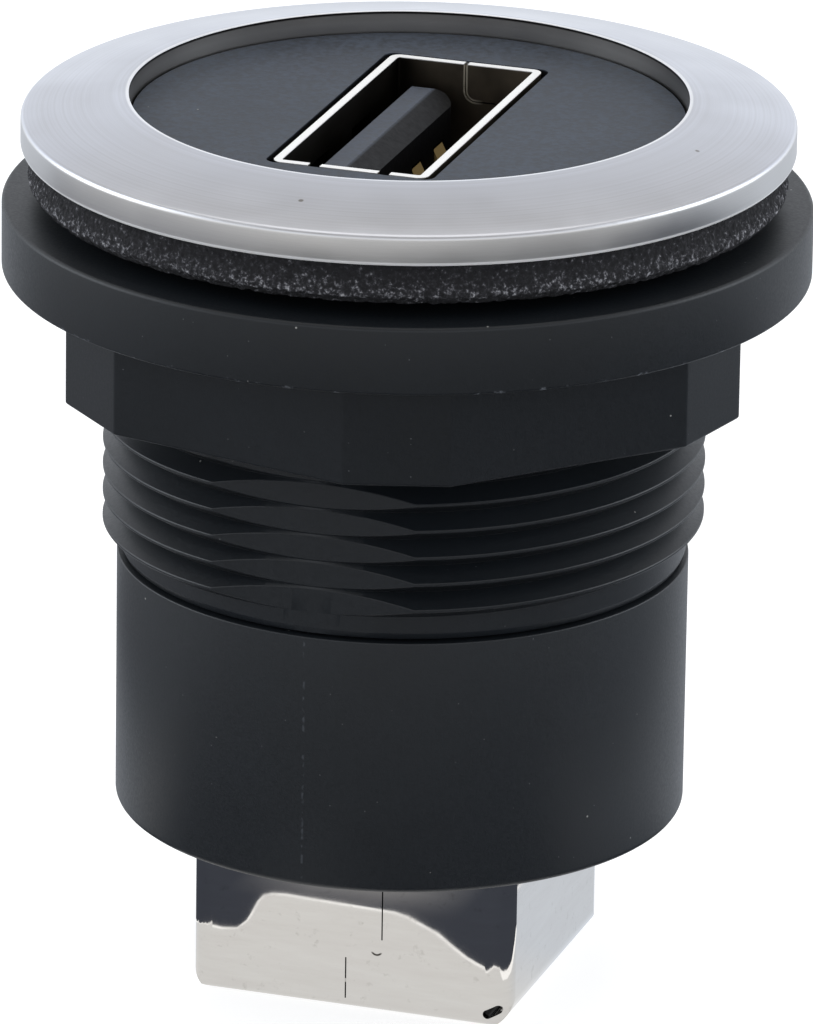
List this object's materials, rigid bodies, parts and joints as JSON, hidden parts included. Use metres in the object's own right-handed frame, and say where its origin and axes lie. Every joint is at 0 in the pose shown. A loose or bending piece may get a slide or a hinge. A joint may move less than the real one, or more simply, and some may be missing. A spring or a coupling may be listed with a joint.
{
  "type": "usb socket",
  "caption": "Panel feed-through usb socket for a round hole: flat A socket in a steel bezel in front, square B socket behind, threaded body with flanged panel nut and gasket.",
  "frame": {"origin": "on the axis, at the panel face of the bezel", "axes": "+Z out of the front along the axis, Y along the front socket's long side, X along its short side"},
  "size_m": [0.0294, 0.0294, 0.0333],
  "materials": {
    "satin_steel": "turned, satin",
    "plate_plastic": "fine matt, moulded",
    "black_plastic": "satin, moulded",
    "foam_rubber": "foamed, light specks",
    "nut_plastic": "satin, moulded",
    "housing_plastic": "satin, moulded",
    "board": "green solder resist",
    "plated_sheet": "bright nickel plate",
    "socket_plastic": "moulded",
    "gold_contact": "gold flash"
  },
  "bodies": {
    "root": {"bezel_ring": "satin_steel", "front_plate": "plate_plastic", "threaded_body": "black_plastic", "rear_housing": "housing_plastic", "circuit_board": "board", "front_socket_shell": "plated_sheet", "front_socket_insulator": "socket_plastic", "front_contact_1": "gold_contact", "front_contact_2": "gold_contact", "front_contact_3": "gold_contact", "front_contact_4": "gold_contact", "rear_socket_shell": "plated_sheet", "rear_socket_insulator": "socket_plastic", "rear_contact_1": "gold_contact", "rear_contact_2": "gold_contact", "rear_contact_3": "gold_contact", "rear_contact_4": "gold_contact"},
    "gasket": {"panel_gasket": "foam_rubber"},
    "nut": {"panel_nut": "nut_plastic"}
  },
  "joints": [
    {"name": "nut_turn", "type": "hinge", "parent": "root", "child": "gasket", "pos_m": [0, 0, 0], "axis": [0, 0, 1], "range_deg": [-4320, 108]},
    {"name": "nut_travel", "type": "slide", "parent": "gasket", "child": "nut", "axis": [0, 0, 1], "range_m": [-0.0121, 0.0004]}
  ],
  "couplings": [
    {"joint": "nut_travel", "follows": "nut_turn", "m_per_rad": 0.00015915}
  ]
}
